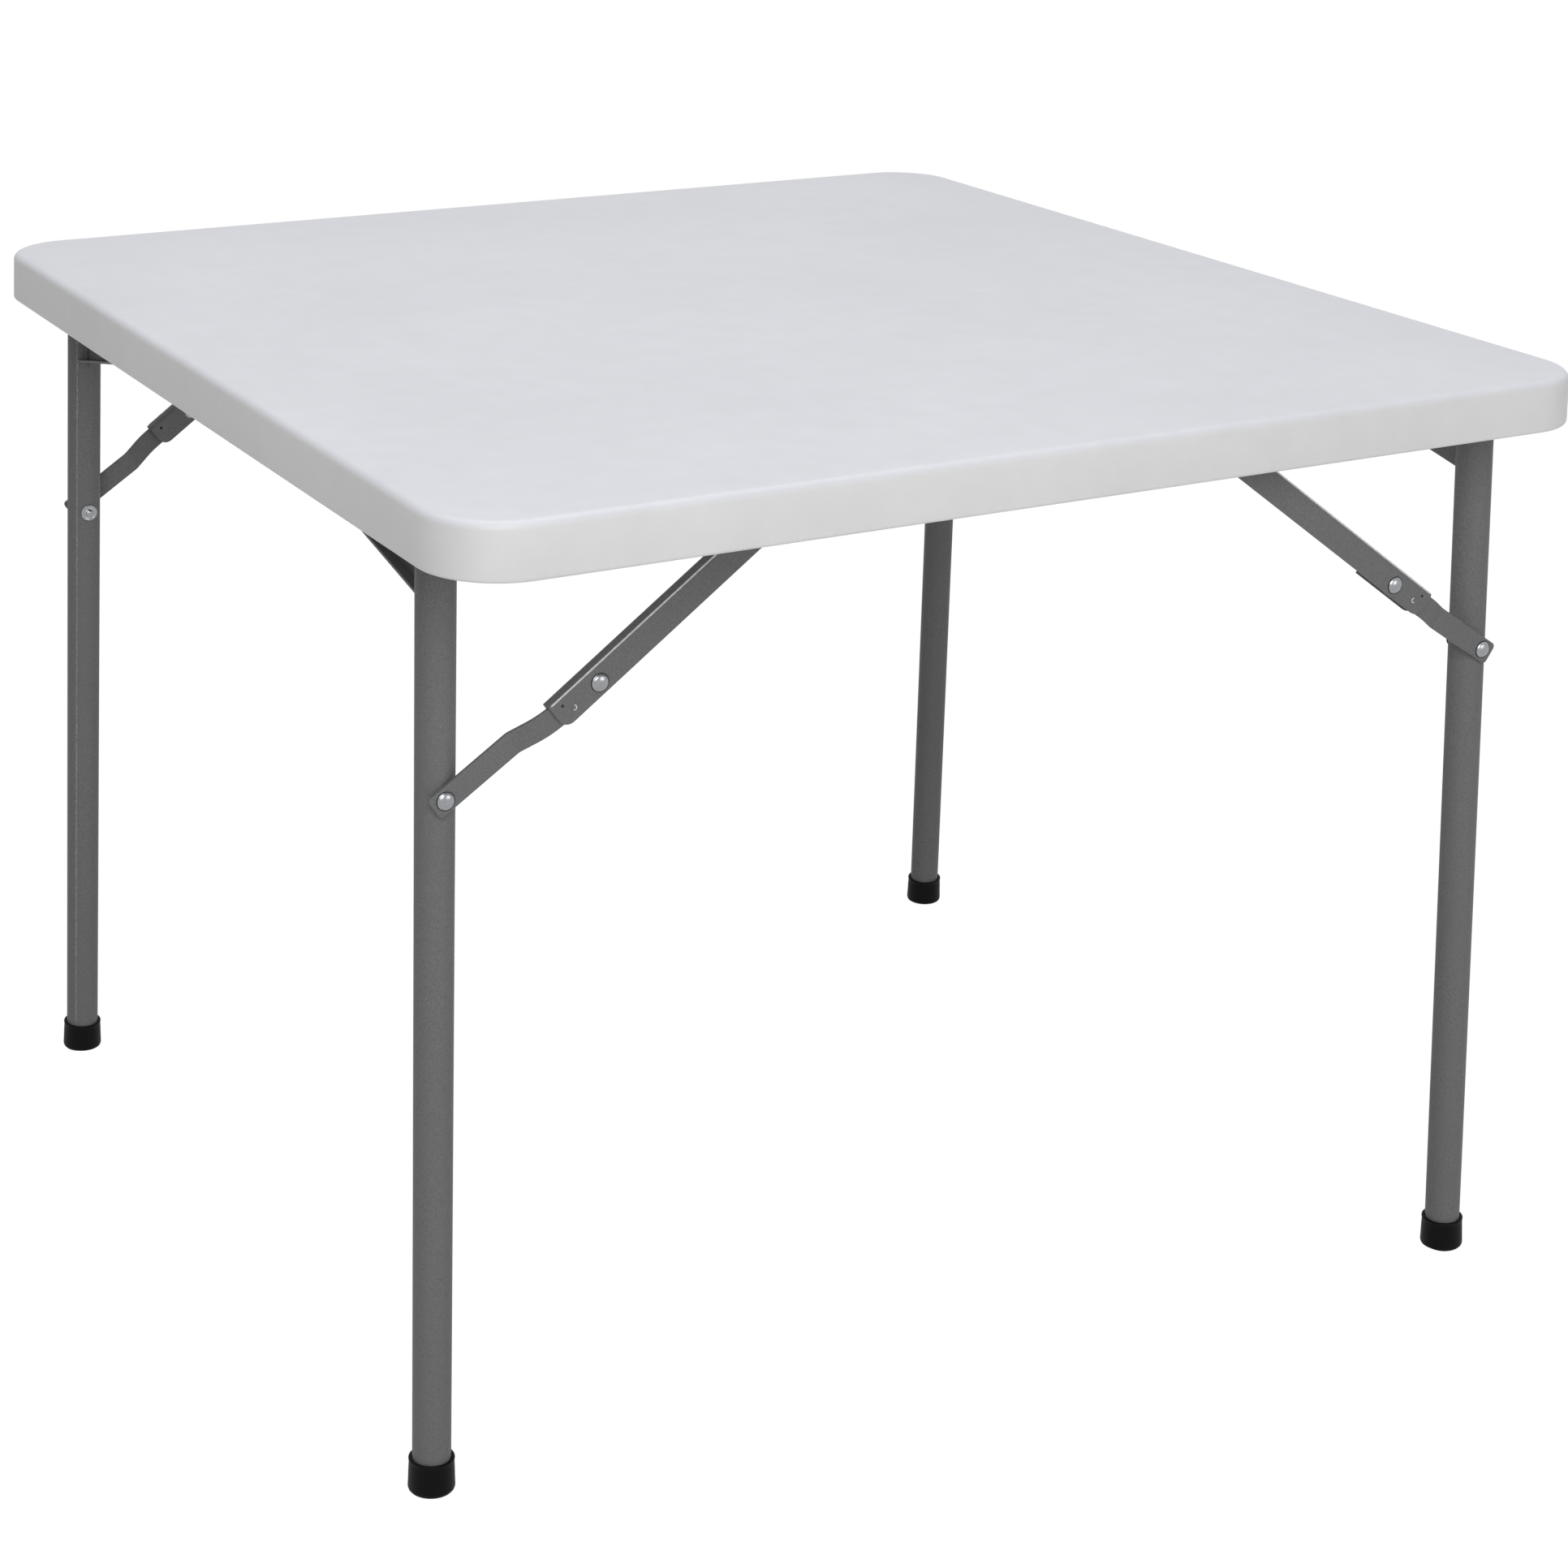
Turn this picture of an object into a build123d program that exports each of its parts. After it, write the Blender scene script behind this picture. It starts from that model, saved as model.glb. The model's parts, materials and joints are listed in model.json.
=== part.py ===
from build123d import *
import math
import os

# Folding card table with a square moulded top on two steel leg frames.
# Each frame is a cross tube with two legs, and turns on its cross tube until it lies under the top.
# The frames are the same and stand half a turn apart, so their legs pass side by side when folded.
# Every leg has a brace of two links: a channel that hangs from the top and a bar that goes to the leg.
# The origin is on the floor under the middle of the top, with +Z up, in millimetres and degrees.
# Frame a stands on the -X side. Everything of frame b is frame a's turned half round about Z.

# Tabletop
top_side = 915.0
table_height = 724.0
skirt_height = 38.0
skirt_wall = 8.0
skirt_draft_angle = 3.0
panel_thickness = 16.0
corner_radius = 55.0
top_edge_radius = 6.0
skirt_edge_radius = 2.5

# Tapered dimples that stiffen the underside of the panel
dimple_pitch = 80.0
dimple_field_x = 660.0
dimple_field_y = 600.0
dimple_mouth_radius = 17.0
dimple_depth = 11.0
dimple_taper_angle = 25.0

# Legs and cross tubes
leg_diameter = 27.0
crossbar_diameter = 25.0
tube_wall = 1.2
leg_lean = 1.9
leg_splay = 2.5
pivot_inset = 52.0
outer_leg_inset = 72.4
inner_leg_inset = 139.8
folded_leg_gap = 1.2

# Gussets between the legs and the cross tube
gusset_length = 200.0
gusset_leg_drop = 57.0
gusset_tip_drop = 16.5
gusset_thickness = 2.0
gusset_flange_width = 9.0
gusset_tab_drop = 58.6
gusset_tab_reach = 13.3
gusset_bend_radius = 2.4

# Foot caps
cap_top_diameter = 31.8
cap_floor_diameter = 33.0
cap_height = 24.5
cap_floor_thickness = 4.0
cap_edge_radius = 1.8

# Braces
brace_drop = 186.0
brace_reach = 260.0
brace_bend = 2.5
brace_offset = 12.6
bar_width = 17.0
bar_thickness = 3.0
bar_leg_gap = 0.9
bar_end = 10.5
bar_corner_radius = 3.0
joggle_start = 42.0
joggle_length = 25.0
joggle_bend_radius = 8.0
channel_web = 20.6
channel_width = 10.5
channel_wall = 1.8
bar_web_gap = 0.7
channel_overhang = 36.9
channel_corner_radius = 8.0
channel_bend_radius = 2.4
channel_end_radius = 9.0
flange_end_gap = 12.0
stop_clearance = 0.15
relief_start = 30.0
detent_hole_diameter = 2.4
detent_hole_back = 7.8
detent_hole_drop = 5.9
detent_bump_diameter = 5.0
detent_bump_height = 0.6
detent_bump_back = 13.3
detent_bump_drop = 12.3

# Rivets
rivet_diameter = 6.0
rivet_head_diameter = 12.4
rivet_head_height = 2.6
rivet_clearance = 0.06
washer_diameter = 13.5
washer_thickness = 1.0
washer_seat_gap = 0.35
rivet_spacer = 0.6
shoulder_diameter = 10.0
shoulder_gap = 0.3
tail_diameter = 8.0
tail_height = 2.0

# Brackets that hold the cross tubes and the braces under the panel
bracket_thickness = 2.0
ear_thickness = 3.0
ear_offset = 21.0
ear_half_width = 17.0
pivot_clearance = 0.08
pivot_plate_outboard = 29.0
pivot_plate_width = 28.0
pivot_screw_outboard = 21.0
pivot_screw_spacing = 15.0
brace_ear_thickness = 2.0
brace_ear_gap = 0.4
brace_ear_radius = 10.0
brace_plate_width = 24.0
brace_plate_front = 12.0
brace_plate_back = 29.0
brace_screw_back = 20.0
brace_screw_spacing = 13.0
screw_diameter = 3.6
screw_length = 12.0
screw_head_diameter = 7.0
screw_head_height = 2.3
cut_overrun = 5.0

# Places that follow from the sizes
half_top = top_side / 2
leg_radius = leg_diameter / 2
crossbar_radius = crossbar_diameter / 2
rivet_radius = rivet_diameter / 2
panel_bottom = table_height - panel_thickness
skirt_bottom = table_height - skirt_height
bracket_bottom = panel_bottom - bracket_thickness
pivot_x = pivot_inset - half_top
pivot_z = bracket_bottom - folded_leg_gap - leg_radius
leg_length = pivot_z / math.cos(math.radians(leg_lean)) / math.cos(math.radians(leg_splay))
leg_places = {"inner": (-1, inner_leg_inset - half_top), "outer": (1, half_top - outer_leg_inset)}
rivet_y = brace_drop * math.tan(math.radians(leg_splay))
leg_face = rivet_y + leg_radius
brace_plane = leg_face + brace_offset
channel_outer = bar_thickness / 2 + bar_web_gap + channel_wall
channel_inner = channel_outer - channel_width

# The brace linkage: it is nearly straight when the leg stands, and folds flat beside the leg
lean = math.radians(leg_lean)
bend = math.radians(brace_bend)
rivet_x = pivot_x - brace_drop * math.sin(lean)
rivet_z = pivot_z - brace_drop * math.cos(lean)
hanger_x = pivot_x + brace_reach
span = math.hypot(hanger_x - rivet_x, pivot_z - rivet_z)
link_difference = brace_reach - brace_drop
bend_share = 2 * (1 + math.cos(bend))
link_product = (span**2 - link_difference**2) / bend_share
bar_length = (math.sqrt(link_difference**2 + 4 * link_product) - link_difference) / 2
channel_length = bar_length + link_difference
span_angle = math.degrees(math.atan2(pivot_z - rivet_z, hanger_x - rivet_x))
bar_angle = span_angle - math.degrees(math.asin(channel_length * math.sin(bend) / span))
channel_angle = bar_angle + brace_bend
elbow_x = rivet_x + bar_length * math.cos(math.radians(bar_angle))
elbow_z = rivet_z + bar_length * math.sin(math.radians(bar_angle))


def slab(sketch, y_low, y_high):
    """A sketch drawn in X and Z, made solid from one Y to the other."""
    return Pos(0, y_high, 0) * (Rot(90, 0, 0) * extrude(sketch, y_high - y_low))


def rod(radius, y_low, y_high, x=0, z=0):
    """A round bar along Y."""
    return slab(Pos(x, z) * Circle(radius), y_low, y_high)


def block(x_low, x_high, y_low, y_high, z_low, z_high):
    """A box between three pairs of faces."""
    corner = Pos((x_low + x_high) / 2, (y_low + y_high) / 2, (z_low + z_high) / 2)
    return corner * Box(x_high - x_low, y_high - y_low, z_high - z_low)


def dome(radius, height, y_seat):
    """A rivet's domed head that sits on a face at y_seat and rises towards +Y."""
    ball_radius = (radius**2 + height**2) / (2 * height)
    ball = Pos(0, y_seat + height - ball_radius, 0) * Sphere(ball_radius)
    return rod(radius, y_seat, y_seat + height) & ball


def flipped(shape):
    """The same shape with its outward side towards -Y."""
    return mirror(shape, about=Plane.XZ)


def screw(x, y):
    """A pan head screw that comes up through a bracket plate into the panel."""
    head = Pos(x, y, bracket_bottom - screw_head_height / 2) * Cylinder(screw_head_diameter / 2, screw_head_height)
    head = fillet(head.edges().group_by(Axis.Z)[0], screw_head_height / 2)
    shank = Pos(x, y, bracket_bottom + screw_length / 2) * Cylinder(screw_diameter / 2, screw_length)
    return head + shank


def screw_hole(x, y):
    """The hole that a screw's shank fills in its plate and in the panel."""
    return Pos(x, y, bracket_bottom + screw_length / 2) * Cylinder(screw_diameter / 2, screw_length)


# The pieces below are drawn for a leg whose axis lies at Y zero and whose outward side is +Y.
# Those of a leg frame have the cross tube's axis at the origin and the leg down, splayed towards +Y.
# Those of a brace link have the elbow's axis at the origin and the link along +X.


def splayed(shape):
    """Turns a piece drawn straight down so that its foot goes outwards along the cross tube."""
    return Rot(leg_splay, 0, 0) * shape


def leg_tube():
    """A leg from its saddle on the cross tube down to the floor of its cap."""
    length = leg_length - cap_floor_thickness
    tube = Pos(0, 0, -length / 2) * (Cylinder(leg_radius, length) - Cylinder(leg_radius - tube_wall, length))
    tube = splayed(tube)
    rivet_hole = Pos(0, rivet_y, -brace_drop) * rod(rivet_radius, -leg_diameter, leg_diameter)
    return tube - rod(crossbar_radius, -leg_diameter, leg_diameter) - rivet_hole


def gusset():
    """A folded plate welded under the cross tube and against the leg, with a flange and a short tab at the leg."""
    near_end = (0, -gusset_leg_drop)
    far_end = (-gusset_length, -gusset_tip_drop)
    plate = make_face(Polyline((0, 0), near_end, far_end, (-gusset_length, 0), close=True))
    rise = gusset_thickness
    above_far_end = (-gusset_length, rise - gusset_tip_drop)
    above_near_end = (0, rise - gusset_leg_drop)
    strip_line = Polyline(near_end, far_end, above_far_end, above_near_end, close=True)
    web = Pos(-gusset_thickness / 2, 0, 0) * extrude(Plane.YZ * plate, gusset_thickness)
    strip = Pos(-gusset_flange_width, 0, 0) * extrude(Plane.YZ * make_face(strip_line), gusset_flange_width)
    folded = web + strip
    fold_edge = folded.edges().group_by(Axis.X)[-1].sort_by(Axis.Z)[0]
    folded = fillet(fold_edge, gusset_bend_radius)
    half = gusset_thickness / 2
    folded = folded + block(-half, half, -gusset_tab_reach, 0, -gusset_tab_drop, -gusset_tip_drop)
    leg = splayed(Pos(0, 0, -gusset_leg_drop) * Cylinder(leg_radius, 2 * gusset_leg_drop))
    crossbar = rod(crossbar_radius, -2 * gusset_length, leg_diameter)
    above = block(-leg_diameter, leg_diameter, -2 * gusset_length, leg_diameter, -crossbar_radius / 2, leg_diameter)
    beside = block(-leg_diameter, leg_diameter, -leg_radius / 2, leg_diameter, -leg_length, leg_diameter)
    return folded - leg - crossbar - above - beside


def foot_cap():
    """A cup pushed on the foot of a leg, cut level where it stands on the floor."""
    wide = cap_floor_diameter / 2
    top = cap_top_diameter / 2
    cup = Pos(0, 0, cap_height / 2 - leg_length) * Cone(wide, top, cap_height)
    spare = Pos(0, 0, -leg_length - cut_overrun / 2) * Cylinder(wide, cut_overrun)
    bore = Pos(0, 0, cap_floor_thickness + cap_height - leg_length) * Cylinder(leg_radius, 2 * cap_height)
    bore = bore & block(-wide, wide, -wide, wide, cap_floor_thickness - leg_length, cap_height)
    return splayed(fillet(cup.edges().group_by(Axis.Z)[-1], cap_edge_radius / 2) + spare - bore)


def leg_rivet():
    """The shank that crosses the leg, with its washer and tail on the inward side."""
    seat = leg_radius + washer_seat_gap
    shank = rod(rivet_radius, -seat, leg_radius + rivet_spacer)
    washer = rod(washer_diameter / 2, -seat - washer_thickness, -seat)
    tail = flipped(dome(tail_diameter / 2, tail_height, seat + washer_thickness))
    return Pos(0, rivet_y, -brace_drop) * (shank + washer + tail)


def brace_bar():
    """The lower link: a flat bar with a joggle that carries it from the channel's plane to the leg."""
    leg_plane = leg_face + bar_leg_gap + bar_thickness / 2
    path = FilletPolyline(
        (-bar_width, brace_plane),
        (joggle_start, brace_plane),
        (joggle_start + joggle_length, leg_plane),
        (bar_length + bar_width, leg_plane),
        radius=joggle_bend_radius,
    )
    strip = Pos(0, 0, -bar_width) * extrude(trace(path, bar_thickness), 2 * bar_width)
    half = bar_width / 2
    straight = Pos((bar_length + bar_end) / 2, 0) * Rectangle(bar_length + bar_end, bar_width)
    outline = straight + Circle(half)
    square_corners = outline.vertices().group_by(Axis.X)[-1]
    outline = fillet(square_corners, bar_corner_radius)
    bar = strip & slab(outline, 0, brace_plane + bar_width)
    elbow_hole = rod(rivet_radius + rivet_clearance, 0, brace_plane + bar_width)
    leg_hole = rod(rivet_radius, 0, brace_plane, bar_length)
    return bar - elbow_hole - leg_hole


def leg_rivet_head():
    """The rivet's head and the stub of its shank that fills the bar."""
    inner = leg_face + bar_leg_gap
    outer = inner + bar_thickness
    head = dome(rivet_head_diameter / 2, rivet_head_height, outer)
    return Pos(bar_length, 0, 0) * (rod(rivet_radius, inner, outer) + head)


def channel_roof():
    """Height of the channel's inner top over the elbow, where the standing bar comes to its stop."""
    return bar_width / 2 / math.cos(bend) + channel_overhang * math.tan(bend) + stop_clearance


def brace_channel():
    """The upper link: a channel open below, whose roof is the stop for the bar when the leg stands."""
    roof = channel_roof() + channel_wall
    floor = roof - channel_web
    low_y = brace_plane + channel_inner
    high_y = brace_plane + channel_outer
    web_middle = Pos((channel_length - channel_overhang) / 2, (roof + floor) / 2)
    web_outline = web_middle * Rectangle(channel_length + channel_overhang, channel_web)
    past_flange = channel_length - flange_end_gap
    upper_end = Pos(past_flange + flange_end_gap, roof) * Rectangle(2 * flange_end_gap, 2 * (roof - channel_end_radius))
    web_outline = web_outline - upper_end
    web_outline = web_outline + Pos(channel_length, 0) * Circle(channel_end_radius)
    low_corner = web_outline.vertices().sort_by_distance((-channel_overhang, floor))[0]
    web_outline = fillet(low_corner, channel_corner_radius)
    solid = slab(web_outline, low_y, high_y)
    outer_bends = solid.edges().filter_by(Axis.X).group_by(Axis.Z)[-1]
    solid = fillet(outer_bends, channel_bend_radius)
    tunnel = slab(
        Pos(channel_length / 2, roof - channel_wall - channel_web) * Rectangle(2 * channel_length, 2 * channel_web),
        low_y + channel_wall,
        high_y - channel_wall,
    )
    inner_bends = tunnel.edges().filter_by(Axis.X).group_by(Axis.Z)[-1]
    tunnel = fillet(inner_bends, channel_bend_radius - channel_wall)
    relief_middle = Pos(relief_start + channel_length / 2, roof - channel_wall - channel_web)
    relief = slab(
        relief_middle * Rectangle(channel_length, 2 * channel_web),
        low_y - cut_overrun,
        high_y - channel_wall,
    )
    channel = solid - tunnel - relief
    for hole_x in (0, channel_length):
        hole_radius = rivet_radius + (rivet_clearance if hole_x else 0)
        channel = channel - rod(hole_radius, low_y - cut_overrun, high_y + cut_overrun, hole_x)
    hole_x = detent_hole_back - channel_overhang
    hole_z = roof - detent_hole_drop
    channel = channel - rod(detent_hole_diameter / 2, low_y - cut_overrun, high_y + cut_overrun, hole_x, hole_z)
    bump_place = Pos(detent_bump_back - channel_overhang, 0, roof - detent_bump_drop)
    bump = dome(detent_bump_diameter / 2, detent_bump_height, high_y)
    other_bump = flipped(dome(detent_bump_diameter / 2, detent_bump_height, -low_y))
    return channel + bump_place * bump + bump_place * other_bump


def double_rivet(low, high):
    """A rivet with a domed head on each side of what it holds, between two places off the bar's middle."""
    head = dome(rivet_head_diameter / 2, rivet_head_height, high)
    other_head = flipped(dome(rivet_head_diameter / 2, rivet_head_height, -low))
    return Pos(0, brace_plane, 0) * (rod(rivet_radius, low, high) + head + other_head)


def elbow_rivet():
    """The elbow's rivet, with a shoulder that keeps the bar beside the channel's outer side."""
    shoulder = rod(shoulder_diameter / 2, channel_inner + channel_wall, -bar_thickness / 2 - shoulder_gap)
    return double_rivet(channel_inner, channel_outer) + Pos(0, brace_plane, 0) * shoulder


# The pieces below stand in their own place beside leg frame a, for a leg whose outward side is +Y.


def pivot_bracket():
    """A plate under the panel with an ear that carries the end of the cross tube."""
    ear = Circle(ear_half_width) + Pos(0, ear_half_width) * Rectangle(2 * ear_half_width, 2 * ear_half_width)
    ear = Pos(pivot_x, pivot_z) * ear
    ear = slab(ear, ear_offset, ear_offset + ear_thickness)
    headroom = block(
        pivot_x - leg_diameter, pivot_x + leg_diameter, 0, 2 * ear_offset, panel_bottom, table_height + leg_diameter
    )
    back = ear_offset + ear_thickness
    plate = block(
        pivot_x - pivot_plate_outboard,
        pivot_x + ear_half_width,
        back - pivot_plate_width,
        back,
        bracket_bottom,
        panel_bottom,
    )
    bracket = (ear - headroom) + plate - rod(crossbar_radius + pivot_clearance, 0, 2 * ear_offset, pivot_x, pivot_z)
    for x, y in pivot_screws():
        bracket = bracket - screw_hole(x, y)
    return bracket


def pivot_screws():
    """Places of a pivot bracket's screws, clear of everything that turns."""
    middle = ear_offset + ear_thickness - pivot_plate_width / 2
    x = pivot_x - pivot_screw_outboard
    return [(x, middle - pivot_screw_spacing / 2), (x, middle + pivot_screw_spacing / 2)]


def brace_bracket():
    """A plate under the panel with an ear on the outward side of the channel's upper end."""
    inside = brace_plane + channel_outer + brace_ear_gap
    plate = block(
        hanger_x - brace_plate_front,
        hanger_x + brace_plate_back,
        brace_plane - brace_plate_width / 2,
        brace_plane + brace_plate_width / 2,
        bracket_bottom,
        panel_bottom,
    )
    ear_height = bracket_bottom - pivot_z
    ear = Circle(brace_ear_radius) + Pos(0, ear_height / 2) * Rectangle(2 * brace_ear_radius, ear_height)
    ear = slab(Pos(hanger_x, pivot_z) * ear, inside, inside + brace_ear_thickness)
    bracket = plate + ear - rod(rivet_radius, 0, 2 * brace_plane, hanger_x, pivot_z)
    for x, y in brace_screws():
        bracket = bracket - screw_hole(x, y)
    return bracket


def brace_screws():
    """Places of a brace bracket's screws, behind the channel's end."""
    x = hanger_x + brace_screw_back
    return [(x, brace_plane - brace_screw_spacing / 2), (x, brace_plane + brace_screw_spacing / 2)]


# How a piece gets from its own drawing to its place


def on_leg(shape, side, leg_y):
    """Puts a piece on a leg of frame a, with its outward side towards the nearer edge of the top."""
    return Pos(0, leg_y, 0) * (shape if side > 0 else flipped(shape))


def on_frame(shape):
    """Leans a piece of a leg frame outwards about the cross tube's axis."""
    return Pos(pivot_x, 0, pivot_z) * (Rot(0, leg_lean, 0) * shape)


def on_elbow(shape, angle):
    """Turns a brace link to its angle over the horizontal and puts its elbow in place."""
    return Pos(elbow_x, 0, elbow_z) * (Rot(0, -angle, 0) * shape)


def frame_a_pieces():
    """Every piece that frame a has or needs, by name, without the letter of the frame."""
    pieces = {}
    low_end = inner_leg_inset - half_top - ear_offset - ear_thickness
    high_end = half_top - outer_leg_inset + ear_offset + ear_thickness
    tube = rod(crossbar_radius, low_end, high_end) - rod(crossbar_radius - tube_wall, low_end, high_end)
    pieces["crossbar"] = on_frame(tube)
    floor_plane = block(-top_side, top_side, -top_side, top_side, 0, table_height)
    for leg_name, (side, leg_y) in leg_places.items():
        placed = {
            "leg": on_frame(leg_tube()),
            "gusset": on_frame(gusset()),
            "foot_cap": on_frame(foot_cap()) & floor_plane,
            "leg_rivet": on_frame(leg_rivet()),
            "brace_bar": on_elbow(brace_bar(), bar_angle + 180),
            "leg_rivet_head": on_elbow(leg_rivet_head(), bar_angle + 180),
            "brace_channel": on_elbow(brace_channel(), channel_angle),
            "elbow_rivet": on_elbow(elbow_rivet(), channel_angle),
            "pivot_bracket": pivot_bracket(),
            "brace_bracket": brace_bracket(),
        }
        ear_face = channel_outer + brace_ear_gap + brace_ear_thickness
        placed["hanger_rivet"] = Pos(hanger_x, 0, pivot_z) * double_rivet(channel_outer - channel_wall, ear_face)
        for name, shape in placed.items():
            pieces[f"{name}_{leg_name}"] = on_leg(shape, side, leg_y)
    return pieces


def screw_places(local_places):
    """Places of the same screws for all four legs of the table."""
    places = []
    for side, leg_y in leg_places.values():
        for x, y in local_places:
            places.append((x, leg_y + side * y))
            places.append((-x, -leg_y - side * y))
    return places


def tabletop():
    """The moulded top: a panel with a drafted skirt and a field of tapered dimples underneath."""
    outline = RectangleRounded(top_side, top_side, corner_radius)
    shell = Pos(0, 0, skirt_bottom) * extrude(outline, skirt_height, taper=skirt_draft_angle)
    shell = fillet(shell.edges().group_by(Axis.Z)[-1], top_edge_radius)
    shell = fillet(shell.edges().group_by(Axis.Z)[0], skirt_edge_radius)
    inner_side = top_side - 2 * skirt_wall
    tray = RectangleRounded(inner_side, inner_side, corner_radius - skirt_wall)
    shell = shell - Pos(0, 0, skirt_bottom) * extrude(tray, panel_bottom - skirt_bottom, taper=skirt_draft_angle)
    floor_radius = dimple_mouth_radius - dimple_depth * math.tan(math.radians(dimple_taper_angle))
    dimple = Cone(dimple_mouth_radius, floor_radius, dimple_depth)
    columns = int(dimple_field_x / dimple_pitch) + 1
    rows = int(dimple_field_y / dimple_pitch) + 1
    grid = Pos(0, 0, panel_bottom + dimple_depth / 2) * GridLocations(dimple_pitch, dimple_pitch, columns, rows)
    shell = shell - [place * dimple for place in grid]
    holes = [screw_hole(x, y) for x, y in screw_places(pivot_screws() + brace_screws())]
    return shell - holes


def build():
    """Writes one STEP file for each node."""
    os.makedirs("parts", exist_ok=True)
    nodes = {"tabletop": tabletop()}
    for name, shape in frame_a_pieces().items():
        base, _, leg_name = name.partition("_inner") if name.endswith("_inner") else name.partition("_outer")
        ending = name[len(base):]
        nodes[f"{base}_a{ending}"] = shape
        nodes[f"{base}_b{ending}"] = Rot(0, 0, 180) * shape
    nodes["pivot_bracket_screws"] = Compound([screw(x, y) for x, y in screw_places(pivot_screws())])
    nodes["brace_bracket_screws"] = Compound([screw(x, y) for x, y in screw_places(brace_screws())])
    for name, shape in nodes.items():
        export_step(shape, f"parts/{name}.step")
    print(f"bar {bar_length:.2f} at {bar_angle:.2f}, channel {channel_length:.2f} at {channel_angle:.2f}")
    print(f"pivot {pivot_x:.2f} {pivot_z:.2f}, elbow {elbow_x:.2f} {elbow_z:.2f}")
    print(f"rivet {rivet_x:.2f} {rivet_z:.2f}, hanger {hanger_x:.2f}")


build()
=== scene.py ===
import json
import math

import bmesh
import bpy
import numpy as np
from mathutils import Matrix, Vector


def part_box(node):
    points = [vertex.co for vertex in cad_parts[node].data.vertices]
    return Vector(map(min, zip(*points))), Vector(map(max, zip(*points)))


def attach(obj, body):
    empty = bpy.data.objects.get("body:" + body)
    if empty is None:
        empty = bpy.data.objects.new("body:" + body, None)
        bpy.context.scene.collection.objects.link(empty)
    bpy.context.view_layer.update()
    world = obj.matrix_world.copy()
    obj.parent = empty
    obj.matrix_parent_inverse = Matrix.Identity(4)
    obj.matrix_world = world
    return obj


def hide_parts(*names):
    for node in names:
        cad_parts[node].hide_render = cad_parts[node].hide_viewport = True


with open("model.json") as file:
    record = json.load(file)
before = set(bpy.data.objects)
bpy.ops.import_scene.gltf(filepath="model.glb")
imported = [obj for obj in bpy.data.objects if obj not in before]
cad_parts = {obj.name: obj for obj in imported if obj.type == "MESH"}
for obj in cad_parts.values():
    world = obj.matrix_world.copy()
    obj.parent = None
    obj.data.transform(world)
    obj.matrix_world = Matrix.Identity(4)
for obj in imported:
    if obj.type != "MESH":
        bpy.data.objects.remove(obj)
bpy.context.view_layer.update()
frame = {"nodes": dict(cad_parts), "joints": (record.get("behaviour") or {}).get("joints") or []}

# The moulded top
# One hollow panel of pale grey high-density polyethylene with a skirt all round, blown in a closed mould.
# Its upper face is lightly pebbled, and tapered dimples press the lower face up to stiffen the panel.
# Lengths are in millimetres, and a piece's mesh is turned to metres when it is made.

MM = 0.001
MERGE_DISTANCE = 0.001 * MM
TOP_SIDE = 915.0
TABLE_HEIGHT = 724.0
SKIRT_HEIGHT = 38.0
SKIRT_WALL = 8.0
SKIRT_DRAFT = math.radians(3.0)
PANEL_THICKNESS = 16.0
CORNER_RADIUS = 55.0
TOP_EDGE_RADIUS, TOP_CROWN = 6.0, 1.0
RIM_RADIUS = 2.5
PANEL_CORNER_RADIUS = 4.0
SMOOTH_RING_INSET = 22.0
DIMPLE_PITCH = 80.0
DIMPLE_COLUMNS, DIMPLE_ROWS = 9, 8
DIMPLE_MOUTH = 17.0
DIMPLE_FLOOR = 11.87
DIMPLE_DEPTH = 11.0
DIMPLE_LIP_RADIUS = 3.0
DIMPLE_SURROUND, DIMPLE_CENTRE = 7.0, 5.0
CELL_STEPS = 16
CORNER_STEPS = 12


def linear(hex_colour):
    """An sRGB hex colour as linear RGBA: below a small value a straight line, above it a power of 2.4."""
    srgb = np.array([int(hex_colour[i:i + 2], 16) for i in (1, 3, 5)]) / 255
    rgb = np.where(srgb <= 0.04045, srgb / 12.92, ((srgb + 0.055) / 1.055) ** 2.4)
    return (*rgb.tolist(), 1.0)


def add(tree, kind, inputs=None, **settings):
    """Adds one node with its settings, and links or sets its inputs by socket name or number."""
    made = tree.nodes.new(kind)
    for name, value in settings.items():
        setattr(made, name, value)
    for name, value in (inputs or {}).items():
        if isinstance(value, bpy.types.NodeSocket):
            tree.links.new(value, made.inputs[name])
        else:
            made.inputs[name].default_value = value
    return made


def blend(tree, share, first, second):
    """The colour output of a node that mixes two colours by a share."""
    return add(tree, "ShaderNodeMix", {0: share, 6: first, 7: second}, data_type="RGBA").outputs[2]


def new_finish(name, **sockets):
    """A material of that name with its Principled shader's own sockets set, the node tree and the shader."""
    finish = bpy.data.materials.new(name)
    finish.use_nodes = True
    shader = finish.node_tree.nodes["Principled BSDF"]
    for socket, value in sockets.items():
        shader.inputs[socket.replace("_", " ")].default_value = value
    return finish, finish.node_tree, shader


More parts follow.
